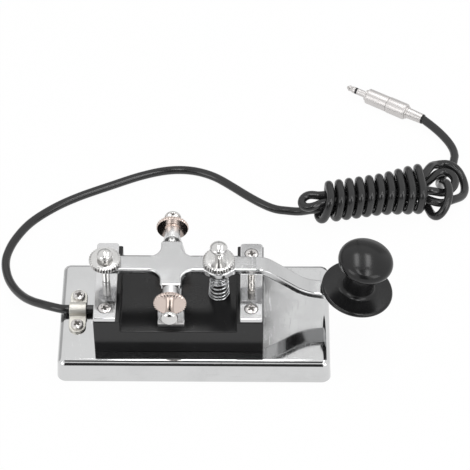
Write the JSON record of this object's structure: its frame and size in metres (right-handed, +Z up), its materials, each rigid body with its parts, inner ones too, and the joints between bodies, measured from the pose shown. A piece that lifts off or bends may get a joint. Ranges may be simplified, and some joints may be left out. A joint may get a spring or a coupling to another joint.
{
  "type": "telegraph key",
  "caption": "Straight telegraph key on a plated base: sprung cross lever on cone pivots, adjusting screws, skirted knob, and a wrapped cord with a jack plug.",
  "frame": {"origin": "centre of the base's underside", "axes": "+X towards the knob, +Y to the back, +Z up"},
  "size_m": [0.2401, 0.2032, 0.0654],
  "materials": {
    "chrome_plate": "bright plated",
    "nickel": "bright nickel",
    "warm_nickel": "plated brass, worn warm",
    "black_gloss": "polished moulding",
    "steel": "bright",
    "cord_sheath": "satin",
    "wire_red": "satin",
    "wire_black": "satin",
    "pad_rubber": "matte"
  },
  "bodies": {
    "base": {"base_pan": "chrome_plate", "base_pad": "pad_rubber", "terminal_block": "black_gloss", "block_screws": "steel", "rear_bar": "chrome_plate", "front_bar": "chrome_plate", "bar_screws": "nickel", "contact_post": "warm_nickel", "terminal_lugs": "warm_nickel", "terminal_nuts": "steel", "signal_wire": "wire_red", "ground_wire": "wire_black", "pivot_yoke": "chrome_plate", "yoke_screws": "nickel", "return_spring": "steel", "cord_clamp": "nickel", "clamp_screws": "nickel", "cord_entry": "cord_sheath", "cord_lead": "cord_sheath", "cord_hank": "cord_sheath", "cord_tail": "cord_sheath", "plug_collar": "nickel", "plug_barrel": "nickel", "plug_sleeve": "nickel", "plug_ring": "black_gloss", "plug_tip": "nickel"},
    "lever": {"lever": "chrome_plate", "lever_contact": "warm_nickel", "knob": "black_gloss", "knob_screw": "steel"},
    "travel_screw": {"travel_screw": "nickel"},
    "travel_nut": {"travel_nut": "nickel"},
    "spring_seat": {"spring_seat": "nickel"},
    "tension_screw": {"tension_screw": "nickel"},
    "tension_nut": {"tension_nut": "nickel"},
    "pivot_screw_front": {"pivot_screw_front": "nickel"},
    "pivot_screw_back": {"pivot_screw_back": "nickel"},
    "pivot_nut_front": {"pivot_nut_front": "warm_nickel"},
    "pivot_nut_back": {"pivot_nut_back": "warm_nickel"}
  },
  "joints": [
    {"name": "lever_pivot", "type": "hinge", "parent": "base", "child": "lever", "pos_m": [-0.0108, 0, 0.0495], "axis": [0, 1, 0], "range_deg": [0, 1.27], "stiffness_Nm_per_rad": 2, "springref_deg": -5.73, "deforming": ["return_spring"]},
    {"name": "travel_screw_turn", "type": "hinge", "parent": "lever", "child": "travel_screw", "pos_m": [-0.0427, 0, 0.0513], "axis": [0, 0, 1], "range_deg": [-180, 180]},
    {"name": "travel_nut_turn", "type": "hinge", "parent": "lever", "child": "travel_nut", "pos_m": [-0.0427, 0, 0.0513], "axis": [0, 0, 1], "range_deg": [-180, 180]},
    {"name": "spring_seat_slide", "type": "slide", "parent": "lever", "child": "spring_seat", "axis": [0, 0, 1], "range_m": [-0.00105, 0.00105], "deforming": ["return_spring"]},
    {"name": "tension_screw_turn", "type": "hinge", "parent": "spring_seat", "child": "tension_screw", "pos_m": [0.0122, 0, 0.0513], "axis": [0, 0, 1], "range_deg": [-540, 540]},
    {"name": "tension_nut_turn", "type": "hinge", "parent": "lever", "child": "tension_nut", "pos_m": [0.0122, 0, 0.0513], "axis": [0, 0, 1], "range_deg": [-180, 180]},
    {"name": "pivot_screw_front_turn", "type": "hinge", "parent": "base", "child": "pivot_screw_front", "pos_m": [-0.0108, -0.02, 0.0495], "axis": [0, 1, 0], "range_deg": [-180, 180]},
    {"name": "pivot_nut_front_turn", "type": "hinge", "parent": "base", "child": "pivot_nut_front", "pos_m": [-0.0108, -0.022, 0.0495], "axis": [0, 1, 0], "range_deg": [-180, 180]},
    {"name": "pivot_screw_back_turn", "type": "hinge", "parent": "base", "child": "pivot_screw_back", "pos_m": [-0.0108, 0.02, 0.0495], "axis": [0, 1, 0], "range_deg": [-180, 180]},
    {"name": "pivot_nut_back_turn", "type": "hinge", "parent": "base", "child": "pivot_nut_back", "pos_m": [-0.0108, 0.022, 0.0495], "axis": [0, 1, 0], "range_deg": [-180, 180]}
  ],
  "couplings": [
    {"joint": "tension_screw_turn", "follows": "spring_seat_slide", "rad_per_m": 8976}
  ]
}
